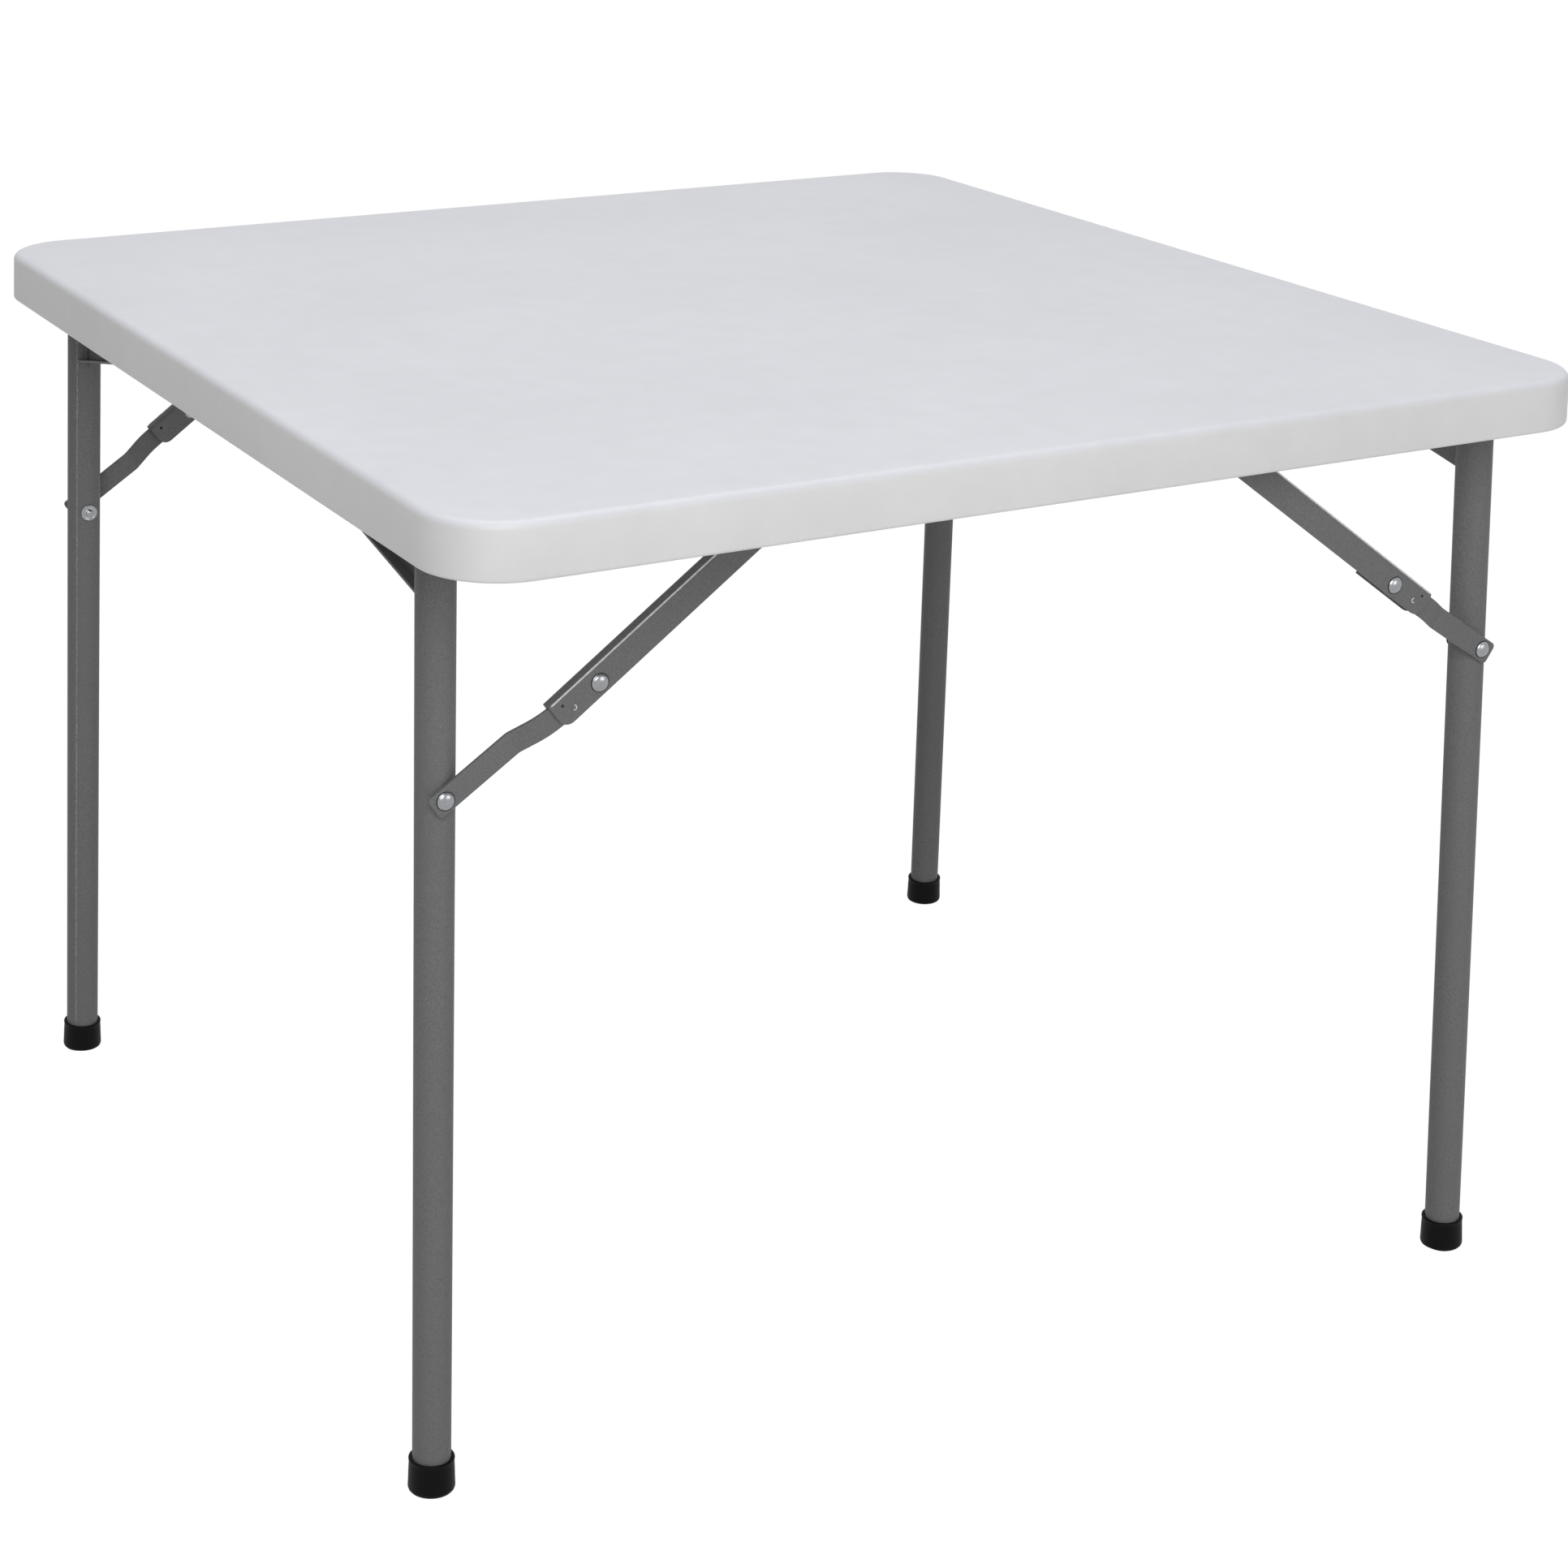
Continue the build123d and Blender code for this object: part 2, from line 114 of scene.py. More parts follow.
def rounded_profile(corners, arc_steps=5):
    """A polyline through (x, y, radius) corners, each corner replaced by a tangent arc of its radius.

    The arc leaves each side at radius / tan(half the corner's angle) from the corner and turns evenly.
    """
    corners = np.array(corners, float)
    points = [corners[0, :2]]
    for before, here, after in zip(corners[:-2], corners[1:-1], corners[2:]):
        back = (before - here)[:2] / np.linalg.norm((before - here)[:2])
        on = (after - here)[:2] / np.linalg.norm((after - here)[:2])
        half = math.acos(np.clip(back @ on, -1, 1)) / 2
        middle = (back + on) / np.linalg.norm(back + on)
        centre = here[:2] + middle * here[2] / math.sin(half)
        start = here[:2] + back * here[2] / math.tan(half) - centre
        end = here[:2] + on * here[2] / math.tan(half) - centre
        share = np.linspace(0, 1, arc_steps)[:, None]
        turn = math.pi - 2 * half
        arc = np.sin((1 - share) * turn) * start + np.sin(share * turn) * end
        points.extend(centre + arc / math.sin(turn))
    points.append(corners[-1, :2])
    return np.array(points)


def mesh_piece(name, grids, finish, body, closed=True, replaces=(), sharp=40.0):
    """Joins grids of points (rows, columns, 3) in millimetres into one shown piece that rides on a body.

    Four neighbours make a quad. Where closed is true the last column joins the first. Points that fall
    together are merged, which closes poles and joins grids, and the normals are then turned outward.
    """
    points, faces, start = [], [], 0
    for grid in grids:
        rows, columns = grid.shape[:2]
        across = columns if closed else columns - 1
        row, column = np.meshgrid(np.arange(rows - 1), np.arange(across), indexing="ij")
        here = row * columns + column
        after = row * columns + (column + 1) % columns
        quads = np.stack([here, here + columns, after + columns, after], -1)
        points.append(grid.reshape(-1, 3))
        faces.append(quads.reshape(-1, 4) + start)
        start += rows * columns
    mesh = bpy.data.meshes.new(name)
    mesh.from_pydata((np.concatenate(points) * MM).tolist(), [], np.concatenate(faces).tolist())
    joined = bmesh.new()
    joined.from_mesh(mesh)
    bmesh.ops.remove_doubles(joined, verts=joined.verts, dist=MERGE_DISTANCE)
    bmesh.ops.recalc_face_normals(joined, faces=joined.faces)
    joined.to_mesh(mesh)
    joined.free()
    mesh.shade_smooth()
    mesh.set_sharp_from_angle(angle=math.radians(sharp))
    piece = bpy.data.objects.new(name, mesh)
    bpy.context.scene.collection.objects.link(piece)
    mesh.materials.append(finish)
    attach(piece, body)
    if replaces:
        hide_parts(*replaces)
    return piece


def around_rectangle(columns, rows, corner_steps):
    """Where the points round a rounded rectangle lie, from its lower left corner's middle and to the left.

    Each point is a place on a unit square, which the straight sides follow, and a unit normal, which the
    corner arcs turn through. A rounded rectangle is then the square times (half side - radius) plus the
    normal times radius.
    """
    places, normals = [], []
    for side, steps in enumerate((columns, rows, columns, rows)):
        i = np.arange(steps)
        along = np.clip((i - corner_steps) / (steps - 2 * corner_steps), 0, 1) * 2 - 1
        lead = np.clip(corner_steps - i, 0, None) - np.clip(i - steps + corner_steps, 0, None)
        angle = (side - 1 - lead / corner_steps / 2) * math.pi / 2
        turn = side * math.pi / 2
        places.append(np.stack([
            along * math.cos(turn) + math.sin(turn),
            along * math.sin(turn) - math.cos(turn),
        ], -1))
        normals.append(np.stack([np.cos(angle), np.sin(angle)], -1))
    return np.concatenate(places), np.concatenate(normals)


# High-density polyethylene, blow-moulded against a finely etched mould. The etching gives a soft sheen
# without clear reflections, and the melt's flow leaves very faint clouds in the grey.
PEBBLE_SIZE = 1.7
CLOUD_SIZE = 160.0
FLOW_SIZE = 26.0
SCUFF_SIZE, SCUFF_BAND = 5.0, 9.0
polyethylene, tree, shader = new_finish("blow_moulded_polyethylene", IOR=1.5)
place = add(tree, "ShaderNodeTexCoord").outputs["Object"]
clouds = add(tree, "ShaderNodeTexNoise", {"Vector": place, "Scale": 1 / (CLOUD_SIZE * MM), "Detail": 2.0})
flow = add(tree, "ShaderNodeTexNoise", {"Vector": place, "Scale": 1 / (FLOW_SIZE * MM), "Detail": 4.0})
pebble = add(tree, "ShaderNodeTexNoise", {"Vector": place, "Scale": 1 / (PEBBLE_SIZE * MM), "Detail": 2.0})
tone = add(tree, "ShaderNodeMath", {0: clouds.outputs["Fac"], 1: flow.outputs["Fac"]}, operation="ADD")
tone = add(tree, "ShaderNodeMapRange", {"Value": tone.outputs[0], "From Min": 0.7, "From Max": 1.3})
height = add(tree, "ShaderNodeSeparateXYZ", {0: place}).outputs["Z"]
# The upper face is painted a shade cooler than the skirt, a painted tint of the cooler light that falls on it
# from above, and the rounded edge between them blends the two.
painted_cool_light_on_top = add(tree, "ShaderNodeMapRange", {
    "Value": height,
    "From Min": (TABLE_HEIGHT - TOP_EDGE_RADIUS) * MM,
    "From Max": (TABLE_HEIGHT - TOP_CROWN) * MM,
}).outputs[0]
darker = blend(tree, painted_cool_light_on_top, linear("#DADADA"), linear("#D9DAE0"))
lighter = blend(tree, painted_cool_light_on_top, linear("#E0E0E0"), linear("#DFE0E6"))
grey = blend(tree, tone.outputs[0], darker, lighter)
# Fine pale wear along the last few millimetres of the skirt, where it is set down and carried.
near_rim = add(tree, "ShaderNodeMapRange", {
    "Value": height,
    "From Min": (TABLE_HEIGHT - SKIRT_HEIGHT + SCUFF_BAND) * MM,
    "From Max": (TABLE_HEIGHT - SKIRT_HEIGHT) * MM,
})
scuffs = add(tree, "ShaderNodeTexNoise", {
    "Vector": place, "Scale": 1 / (SCUFF_SIZE * MM), "Detail": 5.0, "Roughness": 0.7,
})
scuffs = add(tree, "ShaderNodeMapRange", {
    "Value": scuffs.outputs["Fac"], "From Min": 0.58, "From Max": 0.7, "To Max": 0.5,
})
scuffed = add(tree, "ShaderNodeMath", {0: scuffs.outputs[0], 1: near_rim.outputs[0]}, operation="MULTIPLY")
grey = blend(tree, scuffed.outputs[0], grey, linear("#EFEFEF"))
tree.links.new(grey, shader.inputs["Base Color"])
gloss = add(tree, "ShaderNodeMapRange", {"Value": flow.outputs["Fac"], "To Min": 0.40, "To Max": 0.50})
tree.links.new(gloss.outputs[0], shader.inputs["Roughness"])
bump = add(tree, "ShaderNodeBump", {"Height": pebble.outputs["Fac"], "Strength": 0.25, "Distance": 0.15 * MM})
tree.links.new(bump.outputs[0], shader.inputs["Normal"])

field_x, field_y = DIMPLE_PITCH * DIMPLE_COLUMNS / 2, DIMPLE_PITCH * DIMPLE_ROWS / 2
across, along = CELL_STEPS * DIMPLE_COLUMNS, CELL_STEPS * DIMPLE_ROWS
square, normal = around_rectangle(across, along, CORNER_STEPS)
rim_z, panel_z = TABLE_HEIGHT - SKIRT_HEIGHT, TABLE_HEIGHT - PANEL_THICKNESS
draft = math.tan(SKIRT_DRAFT)
skirt_line = rounded_profile([
    (SMOOTH_RING_INSET, TABLE_HEIGHT, 0),
    (SKIRT_HEIGHT * draft, TABLE_HEIGHT, TOP_EDGE_RADIUS),
    (0, rim_z, RIM_RADIUS),
    (SKIRT_WALL, rim_z, RIM_RADIUS),
    (SKIRT_WALL + (panel_z - rim_z) * draft, panel_z, PANEL_CORNER_RADIUS),
    (SMOOTH_RING_INSET, panel_z, 0),
], 7)
inset, level = skirt_line[:, 0, None, None], skirt_line[:, 1, None, None]
skirt_ring = square * (TOP_SIDE / 2 - CORNER_RADIUS) + normal * (CORNER_RADIUS - inset)
skirt_grid = np.concatenate([skirt_ring, np.broadcast_to(level, skirt_ring.shape[:2] + (1,))], -1)


def rectangle_points(half_x, half_y, columns, rows):
    """Evenly spaced points round a rectangle from its lower left corner, in around_rectangle's order."""
    steps = [np.arange(n) / n * 2 - 1 for n in (columns, rows, columns, rows)]
    one = [np.ones(n) for n in (columns, rows)]
    x = np.concatenate([steps[0], one[1], -steps[2], -one[1]]) * half_x
    y = np.concatenate([-one[0], steps[1], one[0], -steps[3]]) * half_y
    return np.stack([x, y], -1)


field_edge = rectangle_points(field_x, field_y, across, along)


def to_field(ring, z):
    """Rows of points on straight lines from a ring to the edge of the dimpled field, all at one height."""
    share = np.linspace(0, 1, 4)[:, None, None]
    rows = ring * (1 - share) + field_edge * share
    return np.concatenate([rows, np.full(rows.shape[:2] + (1,), z)], -1)


upper_ring = to_field(skirt_ring[0], TABLE_HEIGHT)[::-1]
lower_ring = to_field(skirt_ring[-1], panel_z)
ring_grids = [upper_ring, skirt_grid, lower_ring]

# Each dimple is turned from its lip's profile, and its outermost row is the square cell that it stands in.
dimple_line = rounded_profile([
    (DIMPLE_MOUTH + DIMPLE_SURROUND, 0, 0),
    (DIMPLE_MOUTH, 0, DIMPLE_LIP_RADIUS),
    (DIMPLE_FLOOR, DIMPLE_DEPTH, DIMPLE_LIP_RADIUS),
    (DIMPLE_CENTRE, DIMPLE_DEPTH, 0),
], 4)
dimple_line = np.concatenate([dimple_line, [[0, DIMPLE_DEPTH]]])
cell_edge = rectangle_points(DIMPLE_PITCH / 2, DIMPLE_PITCH / 2, CELL_STEPS, CELL_STEPS)
cell_way = cell_edge / np.linalg.norm(cell_edge, axis=-1, keepdims=True)
dimple = np.concatenate([cell_edge[None], cell_way * dimple_line[:, 0, None, None]])
dimple_z = np.concatenate([[0], dimple_line[:, 1]]) + panel_z
dimple = np.concatenate([dimple, np.broadcast_to(dimple_z[:, None, None], dimple.shape[:2] + (1,))], -1)
dimple_grids = [
    dimple + np.array([x, y, 0])
    for x in (np.arange(DIMPLE_COLUMNS) - (DIMPLE_COLUMNS - 1) / 2) * DIMPLE_PITCH
    for y in (np.arange(DIMPLE_ROWS) - (DIMPLE_ROWS - 1) / 2) * DIMPLE_PITCH
]
centre_row = np.zeros((1, len(field_edge), 3)) + np.array([0, 0, TABLE_HEIGHT])
inward = np.linspace(0, 1, 7)[:, None, None]
upper_field = centre_row * (1 - inward) + upper_ring[:1] * inward
mesh_piece(
    "moulded_top", [upper_field, *ring_grids, *dimple_grids], polyethylene,
    "top", replaces=["tabletop"],
)

# The leg frames
# Two legs of round steel tube, welded to a cross tube on which the whole frame turns under the top.
# The tube is rolled from strip and seam welded, and the finished frame is powder coated.
LEG_RADIUS, CROSSBAR_RADIUS = 13.5, 12.5
LEG_LEAN, LEG_SPLAY = math.radians(1.9), math.radians(2.5)
OUTER_INSET, INNER_INSET, PIVOT_INSET, PIVOT_Z = 72.4, 139.8, 52.0, 691.3
SEAM_ANGLE = math.radians(-133)
SEAM_HALF_WIDTH, SEAM_HEIGHT = 0.75, 0.16
SEAM_WAVE, SEAM_WAVER, SEAM_BEAT = 9.0, 0.35, 0.37
SEAM_START, SEAM_FOOT_GAP = 24.0, 26.0
BEAD_RADIUS, BEAD_RIPPLE, BEAD_SWELL = 1.7, 2.6, 0.14
SADDLE_REACH, SADDLE_GAP, SADDLE_SWING = 12.2, 0.4, (28, 152)
STITCH_OFFSET, STITCH_SINK, CROSSBAR_SINK, STITCH_LENGTH = 1.7, 0.6, 0.1, 24.0
GUSSET_STITCHES = [(-17, -30), (-38, -53)]
CROSSBAR_STITCHES = [-24, -90, -160]

# Powder coat with a hammered texture over steel: a dark grey that shrinks into small pits as it cures, which
# scatter the light into fine light and dark flecks. The flecks are drawn about twice their real size.
FLECK_SIZE = 1.3
PIT_SIZE, PIT_DEPTH = 2.2, 0.2
PATCH_SIZE = 60.0


def hammered(name, dark, light, middle):
    """The powder coat between a dark and a light fleck colour, drifting to a middle one in wide patches."""
    coat, tree, shader = new_finish(name, IOR=1.5, Specular_IOR_Level=0.12)
    place = add(tree, "ShaderNodeTexCoord").outputs["Object"]
    fleck = add(tree, "ShaderNodeTexNoise", {
        "Vector": place, "Scale": 1 / (FLECK_SIZE * MM), "Detail": 3.0, "Roughness": 0.6,
    })
    patch = add(tree, "ShaderNodeTexNoise", {
        "Vector": place, "Scale": 1 / (PATCH_SIZE * MM), "Detail": 3.0,
    })
    tone = add(tree, "ShaderNodeMapRange", {"Value": fleck.outputs["Fac"], "From Min": 0.3, "From Max": 0.7})
    grey = blend(tree, tone.outputs[0], linear(dark), linear(light))
    grey = blend(tree, patch.outputs["Fac"], grey, linear(middle))
    tree.links.new(grey, shader.inputs["Base Color"])
    pits = add(tree, "ShaderNodeTexVoronoi", {
        "Vector": place, "Scale": 1 / (PIT_SIZE * MM),
    }, feature="SMOOTH_F1")
    bump = add(tree, "ShaderNodeBump", {
        "Height": pits.outputs["Distance"], "Strength": 0.18, "Distance": PIT_DEPTH * MM,
    })
    tree.links.new(bump.outputs[0], shader.inputs["Normal"])
    gloss = add(tree, "ShaderNodeMapRange", {"Value": fleck.outputs["Fac"], "To Min": 0.46, "To Max": 0.58})
    tree.links.new(gloss.outputs[0], shader.inputs["Roughness"])
    return coat


hammered_coat = hammered("hammered_powder_coat", "#616163", "#818181", "#717172")


def dress(finish, *starts):
    """Gives the finish to every CAD node whose name starts with one of these."""
    for name, node in frame["nodes"].items():
        if name.startswith(starts):
            node.data.materials.clear()
            node.data.materials.append(finish)


def carried(points, origin, axes):
    """Points drawn at zero, carried to the origin with their x, y and z along the three axes."""
    return np.array(origin) + points @ np.array(axes)


def leg_axes(side, turn, splay):
    """The x, y and z axes of a leg's own drawing after its splay, its lean and its frame's half turn.

    The splay turns about x, the side mirrors y, the lean turns about y, and the half turn reverses x and y.
    """
    axes = np.array([
        [1, 0, 0],
        [0, math.cos(splay) * side, math.sin(splay)],
        [0, -math.sin(splay) * side, math.cos(splay)],
    ])
    x, z = axes[:, 0].copy(), axes[:, 2].copy()
    axes[:, 0] = x * math.cos(LEG_LEAN) + z * math.sin(LEG_LEAN)
    axes[:, 2] = z * math.cos(LEG_LEAN) - x * math.sin(LEG_LEAN)
    return axes * np.array([turn, turn, 1])


legs = []
for letter, turn in (("a", 1), ("b", -1)):
    for kind, side, inset in (("inner", -1, INNER_INSET), ("outer", 1, OUTER_INSET)):
        top_y = side * (TOP_SIDE / 2 - inset)
        legs.append({
            "name": f"{letter}_{kind}", "body": f"frame_{letter}", "side": side * turn,
            "pivot": np.array([turn * (PIVOT_INSET - TOP_SIDE / 2), turn * top_y, PIVOT_Z]),
            "splayed": leg_axes(side, turn, LEG_SPLAY), "straight": leg_axes(side, turn, 0),
        })
leg_length = PIVOT_Z / math.cos(LEG_LEAN) / math.cos(LEG_SPLAY)


def tube_round(path, radius, columns=10):
    """A closed round rod along a path: a circle about each path point, shrunk to a point at both ends.

    The circle's axes are a sideways one, square to the path and to a fixed direction well away from the
    path's start, and the one square to both.
    """
    ahead = np.gradient(path, axis=0)
    ahead /= np.linalg.norm(ahead, axis=-1, keepdims=True)
    fixed = np.array([0.3, 0.2, 0.93]) if abs(ahead[0, 2]) < 0.7 else np.array([0.9, 0.4, 0.1])
    sideways = np.cross(ahead, fixed)
    sideways /= np.linalg.norm(sideways, axis=-1, keepdims=True)
    other = np.cross(ahead, sideways)
    angle = np.linspace(0, 2 * math.pi, columns, endpoint=False)[None, :, None]
    radius = np.broadcast_to(radius, len(path)).copy()
    radius[[0, -1]] = 0
    ring = np.cos(angle) * sideways[:, None] + np.sin(angle) * other[:, None]
    return path[:, None] + ring * radius[:, None, None]


# The weld seam of the tube, a fine ridge painted pale, a painted highlight where the ridge catches the light.
seam_highlight_coat = hammered("painted_highlight_on_weld_seam", "#5E5E5F", "#B4B4B4", "#7A7A7A")
down = np.linspace(-SEAM_START, SEAM_FOOT_GAP - leg_length, 400)
seam_turn = np.linspace(0, 2 * math.pi, 8, endpoint=False)
waver = 1 + SEAM_WAVER * np.sin(down * 2 * math.pi / SEAM_WAVE) * np.sin(down * SEAM_BEAT)
waver[[0, -1]] = 0
seam_side = np.cos(seam_turn) * SEAM_HALF_WIDTH * waver[:, None] / LEG_RADIUS + SEAM_ANGLE
seam_out = LEG_RADIUS + np.sin(seam_turn) * SEAM_HEIGHT * waver[:, None]
seam = np.stack([
    seam_out * np.cos(seam_side),
    seam_out * np.sin(seam_side),
    np.broadcast_to(down[:, None], seam_side.shape),
], -1)


def bead(path, steps=60):
    """A weld bead along a few points: an even path, and a radius that ripples like a cosine along it."""
    path = np.array(path, float)
    run = np.concatenate([[0], np.cumsum(np.linalg.norm(np.diff(path, axis=0), axis=-1))])
    at = np.linspace(0, run[-1], steps)
    even = np.stack([np.interp(at, run, path[:, k]) for k in range(3)], -1)
    ripple = 1 + BEAD_SWELL * np.cos(at * 2 * math.pi / BEAD_RIPPLE)
    fade = np.sqrt(np.clip(np.minimum(at, run[-1] - at) / BEAD_RADIUS, 0.05, 1))
    return tube_round(even, BEAD_RADIUS * ripple * fade)


# Weld beads join each leg to the cross tube round its saddle, and the gusset to both in short runs.
swing = np.linspace(*np.radians(SADDLE_SWING), 14)
saddle_x = LEG_RADIUS * np.cos(swing)
saddle_z = np.clip(saddle_x, -SADDLE_REACH, SADDLE_REACH)
saddle_z = -np.sqrt(CROSSBAR_RADIUS**2 - saddle_z**2) - SADDLE_GAP
slope = math.tan(LEG_SPLAY)
saddles = [
    bead(np.stack([saddle_x, way * LEG_RADIUS * np.sin(swing) - saddle_z * slope, saddle_z], -1))
    for way in (-1, 1)
]
stitch_y = STITCH_SINK - LEG_RADIUS
stitches = [
    bead([(x, stitch_y - z0 * slope, z0), (x, stitch_y - z1 * slope, z1)], 30)
    for x in (-STITCH_OFFSET, STITCH_OFFSET) for z0, z1 in GUSSET_STITCHES
]
under_crossbar = -CROSSBAR_RADIUS - CROSSBAR_SINK
stitches += [
    bead([(x, y, under_crossbar), (x, y - STITCH_LENGTH, under_crossbar)], 40)
    for x in (-STITCH_OFFSET, STITCH_OFFSET) for y in CROSSBAR_STITCHES
]
for leg in legs:
    mesh_piece(
        f"seam_{leg['name']}", [carried(seam, leg["pivot"], leg["splayed"])], seam_highlight_coat,
        leg["body"],
    )
    welds = [carried(grid, leg["pivot"], leg["straight"]) for grid in saddles + stitches]
    mesh_piece(f"welds_{leg['name']}", welds, hammered_coat, leg["body"])
dress(hammered_coat, "leg_a", "leg_b", "crossbar", "gusset", "brace_channel")
dress(hammered_coat, "pivot_bracket_a", "pivot_bracket_b", "brace_bracket_a", "brace_bracket_b")

# The foot caps
# A cup of black polyethylene pushed on the foot of each leg, with a thin rolled lip at its mouth.
# It widens a little towards the floor and is moulded with a level sole.
CAP_PROFILE = [
    (0, -1.4), (14.2, -1.4), (15.2, -0.2), (16.1, 0.9), (16.5, 2.2), (16.5, 3.6), (16.3, 8), (16.05, 16),
    (15.8, 21.4), (15.78, 22.2), (16.0, 22.6), (16.12, 23.2), (16.0, 23.9), (15.5, 24.35), (14.8, 24.5),
    (14.1, 24.3), (13.62, 23.8), (13.52, 23.0), (13.52, 8), (0, 8),
]

# Black polyethylene, injection moulded: near black and nearly matt, greyed very faintly by dust.
CAP_DUST_SIZE, CAP_GRAIN = 6.0, 0.2
black_cap, tree, shader = new_finish("moulded_black_cap", Roughness=0.5, IOR=1.5, Specular_IOR_Level=0.08)
place = add(tree, "ShaderNodeTexCoord").outputs["Object"]
dust = add(tree, "ShaderNodeTexNoise", {"Vector": place, "Scale": 1 / (CAP_DUST_SIZE * MM), "Detail": 4.0})
cap_tone = blend(tree, dust.outputs["Fac"], linear("#070707"), linear("#0C0C0C"))
tree.links.new(cap_tone, shader.inputs["Base Color"])
bump = add(tree, "ShaderNodeBump", {
    "Height": dust.outputs["Fac"], "Strength": 0.2, "Distance": CAP_GRAIN * MM,
})
tree.links.new(bump.outputs[0], shader.inputs["Normal"])


def turned(profile, columns=48):
    """A profile of (radius, height) points turned round z: x and y are radius times cosine and sine."""
    profile = np.array(profile, float)
    angle = np.linspace(0, 2 * math.pi, columns, endpoint=False)
    radius, height = profile[:, 0, None], profile[:, 1, None]
    return np.stack([radius * np.cos(angle), radius * np.sin(angle), height + 0 * angle], -1)


cap = turned(CAP_PROFILE, 64) - np.array([0, 0, leg_length])
for leg in legs:
    cup = carried(cap, leg["pivot"], leg["splayed"])
    cup[..., 2] = np.maximum(cup[..., 2], 0)
    mesh_piece(
        f"cap_{leg['name']}", [cup], black_cap,
        leg["body"], replaces=[f"foot_cap_{leg['name']}"],
    )

# The braces
# The upper link is a channel pressed from steel strip and keeps its CAD solid. The lower one is a flat steel
# bar with rolled edges, joggled so that it leaves the channel and lies against the leg. The corners of its
# end are rounded, and both links have the leg frames' coat.
BAR_HALF_WIDTH, BAR_THICKNESS, BAR_EDGE = 8.5, 3.0, 0.7
BAR_END, BAR_CORNER = 9.6, 2.8
JOGGLE_START, JOGGLE_LENGTH = 45.0, 22.4
GENTLE_BEND, SHARP_BEND = 50.0, 8.0
STRAIGHT_AT_ELBOW = (5.0, 28.0)
RIVET_DROP, BRACE_OFFSET, BAR_GAP = 186.0, 12.6, 0.9
RIVET_Y = RIVET_DROP * math.tan(LEG_SPLAY)
LEG_FACE = RIVET_Y + LEG_RADIUS
BRACE_PLANE = LEG_FACE + BRACE_OFFSET
BAR_PLANE = LEG_FACE + BAR_GAP + BAR_THICKNESS / 2
CHANNEL_INNER, CHANNEL_OUTER, CHANNEL_WALL = -6.5, 4.0, 1.8
joint_at = {joint["name"]: np.array(joint["pos_m"]) / MM for joint in frame["joints"]}


def brace_axes(start, end, side):
    """Axes of a brace link drawn along x from start to end, with y outwards and z square to both."""
    along = (end - start) * np.array([1, 0, 1])
    along /= np.linalg.norm(along)
    return np.array([along, [0, side, 0], [-along[2], 0, along[0]]])


# Each brace's pivots are read from the frame as it stands, and its lengths and axes follow from them. The
# channel has a second set of axes, whose z is turned to point up, for what isn't the same above and below.
for leg in legs:
    name, side = leg["name"], leg["side"]
    elbow, hanger = joint_at[f"bar_{name}_swing"], joint_at[f"channel_{name}_swing"]
    low, high = (np.array(corner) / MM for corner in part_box(f"leg_rivet_head_{name}"))
    rivet = (low + high) / 2 * np.array([1, 0, 1]) + elbow * np.array([0, 1, 0])
    channel_way = brace_axes(elbow, hanger, side)
    leg.update({
        "elbow": elbow, "hanger": hanger, "rivet": rivet,
        "bar_length": np.linalg.norm(rivet - elbow), "channel_length": np.linalg.norm(hanger - elbow),
        "bar_way": brace_axes(elbow, rivet, side), "channel_way": channel_way,
        "channel_up": channel_way * np.array([[1], [1], [np.sign(channel_way[2, 2])]]),
    })


def flat_bar(length):
    """The joggled bar, drawn along x with its elbow at zero: a rounded oblong carried along a bent line.

    The oblong's half width shrinks to the elbow's half circle at one end, and by a corner's quarter circle at
    the other. Its thickness lies square to the middle line, in x and y, and its width along z.
    """
    tip, joggle_end = length + BAR_END, JOGGLE_START + JOGGLE_LENGTH
    bends = rounded_profile([
        (-BAR_HALF_WIDTH, BRACE_PLANE, 0), (JOGGLE_START, BRACE_PLANE, GENTLE_BEND),
        (joggle_end, BAR_PLANE, SHARP_BEND), (tip, BAR_PLANE, 0),
    ], 12)
    straight_rows = [np.linspace(*STRAIGHT_AT_ELBOW, 4), np.linspace(joggle_end + SHARP_BEND, length, 6)]
    ends = np.concatenate([
        -BAR_HALF_WIDTH * np.cos(np.linspace(0, math.pi / 2, 8)),
        tip - BAR_CORNER + BAR_CORNER * np.sin(np.linspace(0, math.pi / 2, 9)),
        *straight_rows,
    ])
    x = np.unique(np.round(np.concatenate([bends[:, 0], ends]), 4))
    middle = np.stack([x, np.interp(x, bends[:, 0], bends[:, 1])], -1)
    way = np.gradient(middle, axis=0)
    way /= np.linalg.norm(way, axis=-1, keepdims=True)
    from_elbow, from_tip = np.clip(-x, 0, None), np.clip(x - tip + BAR_CORNER, 0, None)
    half = np.sqrt(np.clip(BAR_HALF_WIDTH**2 - from_elbow**2, 0, None))
    half = half - BAR_CORNER + np.sqrt(np.clip(BAR_CORNER**2 - from_tip**2, 0, None))
    half = half.clip(0)[:, None]
    square, normal = around_rectangle(10, 10, 3)
    wide = square[:, 0] * (half - BAR_EDGE).clip(0) + normal[:, 0] * np.minimum(BAR_EDGE, half)
    thick = square[:, 1] * (BAR_THICKNESS / 2 - BAR_EDGE) + normal[:, 1] * BAR_EDGE
    bar = np.stack([
        middle[:, 0, None] - way[:, 1, None] * thick,
        middle[:, 1, None] + way[:, 0, None] * thick,
        wide,
    ], -1)
    poles = np.concatenate([middle[[0, -1]], np.zeros((2, 1))], -1)[:, None] + 0 * bar[:2]
    return np.concatenate([poles[:1], bar, poles[1:]])
